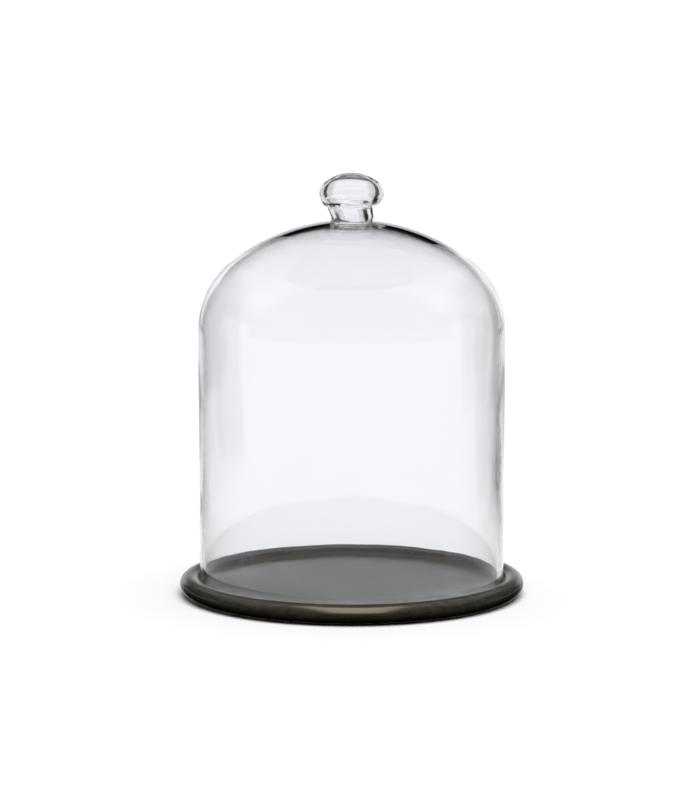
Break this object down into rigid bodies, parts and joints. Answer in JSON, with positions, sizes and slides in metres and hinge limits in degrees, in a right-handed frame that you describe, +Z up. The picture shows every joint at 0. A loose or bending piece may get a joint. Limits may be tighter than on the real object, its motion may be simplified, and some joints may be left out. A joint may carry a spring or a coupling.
{
  "type": "bell jar dome",
  "caption": "Clear glass bell jar with a hollow blown glass knob, standing in the recess of a round dark-lacquered wooden tray; the dome lifts straight off.",
  "frame": {"origin": "on the dome's axis, at the level of the felt pads' undersides, which is the surface the jar stands on", "axes": "+Z up along the axis of the dome; the jar is round, so +X and +Y are free, and the four pads lie on the diagonals between them"},
  "size_m": [0.2823, 0.2824, 0.3465],
  "materials": {
    "clear_glass": "clear, fire-polished, slightly uneven mouth-blown glass",
    "lacquered_wood": "very dark olive-brown satin lacquer on turned wood",
    "black_felt": "matt pressed felt"
  },
  "bodies": {
    "base": {"base_tray": "lacquered_wood", "felt_pad_1": "black_felt", "felt_pad_2": "black_felt", "felt_pad_3": "black_felt", "felt_pad_4": "black_felt"},
    "dome": {"dome_glass": "clear_glass", "dome_knob": "clear_glass"}
  },
  "joints": [
    {"name": "dome_lift", "type": "slide", "parent": "base", "child": "dome", "axis": [0, 0, 1], "range_m": [0, 0.33]}
  ]
}
